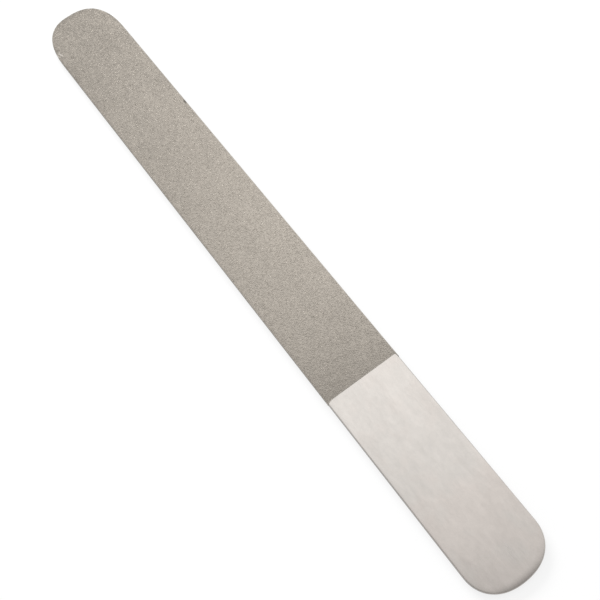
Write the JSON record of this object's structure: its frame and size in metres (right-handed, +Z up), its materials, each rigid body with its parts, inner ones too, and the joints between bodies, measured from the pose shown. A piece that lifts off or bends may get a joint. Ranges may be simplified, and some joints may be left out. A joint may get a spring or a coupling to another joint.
{
  "type": "nail file",
  "caption": "Flat metal nail file: a thin strip with rounded ends, its filing end plated with a grit coat on both faces and its handle end bare brushed steel.",
  "frame": {"origin": "under the middle of the file, on the plane that it rests on", "axes": "+X along the file towards its filing tip, +Y to its left edge, +Z up out of its coarse face"},
  "size_m": [0.1906, 0.0202, 0.0016],
  "materials": {
    "satin_steel": "satin, faintly brushed along the strip",
    "plated_nickel": "dull grey electroplated nickel, slightly rough",
    "coarse_grit": "matte warm grey grains set in nickel, coarse",
    "fine_grit": "matte warm grey grains set in nickel, fine"
  },
  "bodies": {
    "root": {"steel_blank": "satin_steel", "nickel_bond_coat": "plated_nickel", "coarse_grit_face": "coarse_grit", "fine_grit_face": "fine_grit"}
  },
  "joints": []
}
